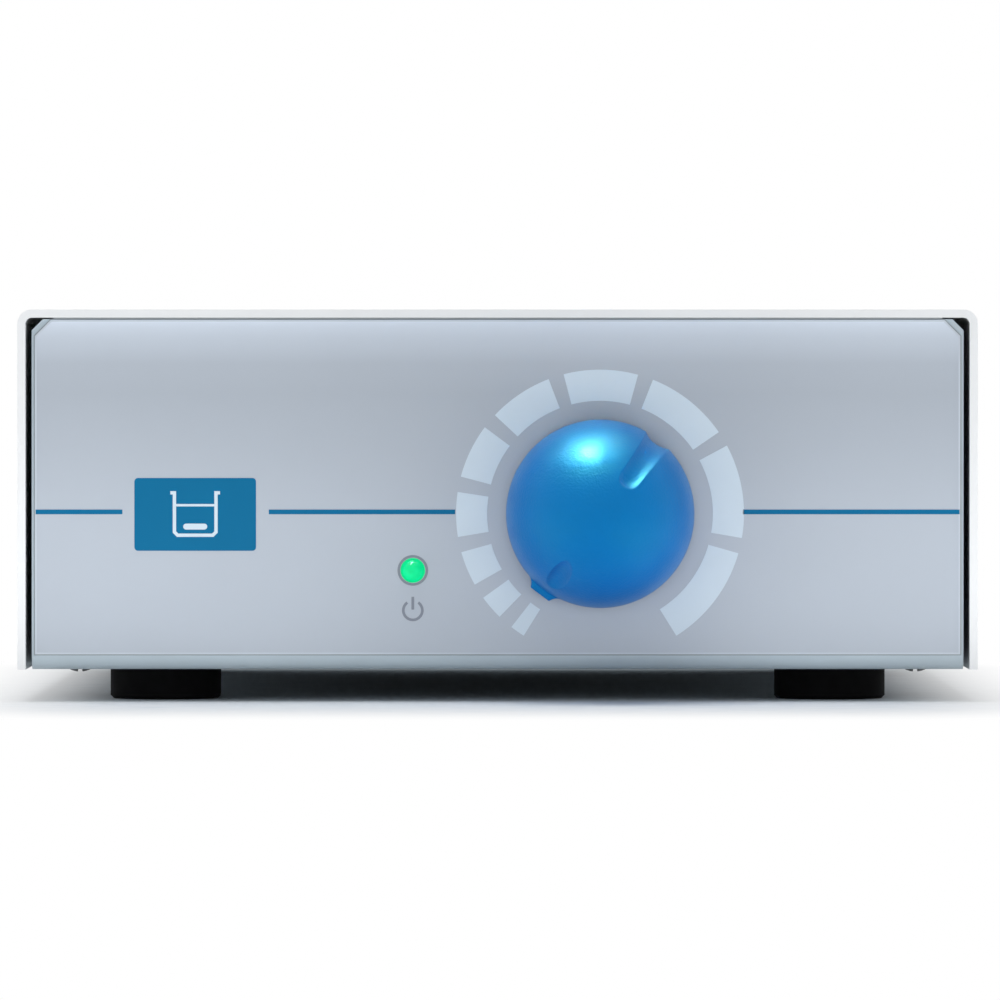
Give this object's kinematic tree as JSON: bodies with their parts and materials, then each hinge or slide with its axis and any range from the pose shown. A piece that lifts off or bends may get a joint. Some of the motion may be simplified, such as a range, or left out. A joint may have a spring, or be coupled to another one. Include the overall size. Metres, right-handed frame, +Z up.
{
  "type": "magnetic stirrer",
  "caption": "Compact magnetic stirrer: sheet-metal box with a flat plate top, a front speed knob and pilot lamp, and a motor-driven magnet bar inside.",
  "frame": {"origin": "on the table under the centre of the overall box", "axes": "+X right seen from the front, +Y towards the rear, +Z up; the front panel and knob face -Y"},
  "size_m": [0.12, 0.1642, 0.049],
  "materials": {
    "cover_paint": "fine semi-gloss white powder coat",
    "panel_film": "fine-textured printed polyester film",
    "bare_steel": "zinc-plated sheet",
    "screw_steel": "dark zinc",
    "bright_steel": "bright zinc",
    "knob_plastic": "satin moulded plastic",
    "foot_rubber": "matt black",
    "lamp_lens": "clear coloured lens, lit",
    "black_plastic": "moulded black",
    "contact_metal": "plated contact",
    "brass_metal": "turned",
    "board_laminate": "green solder mask",
    "capacitor_sleeve": "shrunk sleeve",
    "resistor_body": "lacquered",
    "trimmer_plastic": "moulded blue",
    "connector_plastic": "moulded ivory",
    "track_board": "phenolic board",
    "wire_sleeve": "insulated lead",
    "sink_metal": "black anodised",
    "hub_metal": "turned",
    "ferrite": "sintered",
    "core_steel": "stacked laminations",
    "coil_copper": "enamelled copper",
    "magnet_coat": "nickel-plated magnet",
    "sintered_bronze": "oil-filled sintered bronze"
  },
  "bodies": {
    "root": {"cover": "cover_paint", "cover_tabs": "bare_steel", "cover_screws": "screw_steel", "chassis": "bare_steel", "weld_studs": "bright_steel", "front_overlay": "panel_film", "feet": "foot_rubber", "foot_screws": "bright_steel", "foot_nuts": "bright_steel", "pot_bush": "brass_metal", "pot_wafer": "track_board", "pot_lugs": "contact_metal", "pot_can": "bright_steel", "pot_switch": "black_plastic", "pot_washer": "bright_steel", "pot_nut": "bright_steel", "led": "lamp_lens", "led_spacer": "black_plastic", "led_leads": "bright_steel", "jack_body": "black_plastic", "jack_pin": "contact_metal", "jack_contact": "contact_metal", "jack_nut": "bright_steel", "pcb": "board_laminate", "pcb_standoffs": "bright_steel", "pcb_screws": "bright_steel", "capacitors": "capacitor_sleeve", "ic_chip": "black_plastic", "transistor": "black_plastic", "heat_sink": "sink_metal", "trimmer": "trimmer_plastic", "resistors": "resistor_body", "pcb_headers": "connector_plastic", "wire_plugs": "connector_plastic", "dc_wires": "wire_sleeve", "motor_wires": "wire_sleeve", "switch_wires": "wire_sleeve", "motor_can": "bright_steel", "motor_pad": "foot_rubber", "motor_screws": "bright_steel", "field_magnets": "ferrite", "motor_bushes": "sintered_bronze", "motor_endbell": "connector_plastic", "brush_gear": "contact_metal", "motor_bridge": "bare_steel", "bridge_nuts": "bright_steel"},
    "knob": {"knob": "knob_plastic", "knob_clip": "bright_steel", "pot_shaft": "brass_metal", "pot_rotor": "connector_plastic"},
    "rotor": {"motor_shaft": "bright_steel", "armature_core": "core_steel", "armature_coils": "coil_copper", "commutator": "brass_metal", "drive_hub": "hub_metal", "hub_setscrew": "screw_steel", "magnet_yoke": "core_steel", "yoke_screws": "bright_steel", "drive_magnets": "magnet_coat"}
  },
  "joints": [
    {"name": "knob_turn", "type": "hinge", "parent": "root", "child": "knob", "pos_m": [0.0128, -0.06745, 0.0235], "axis": [0, 1, 0], "range_deg": [-7, 293]},
    {"name": "rotor_spin", "type": "hinge", "parent": "root", "child": "rotor", "pos_m": [0, 0.00655, 0.025], "axis": [0, 0, 1], "continuous": true}
  ]
}
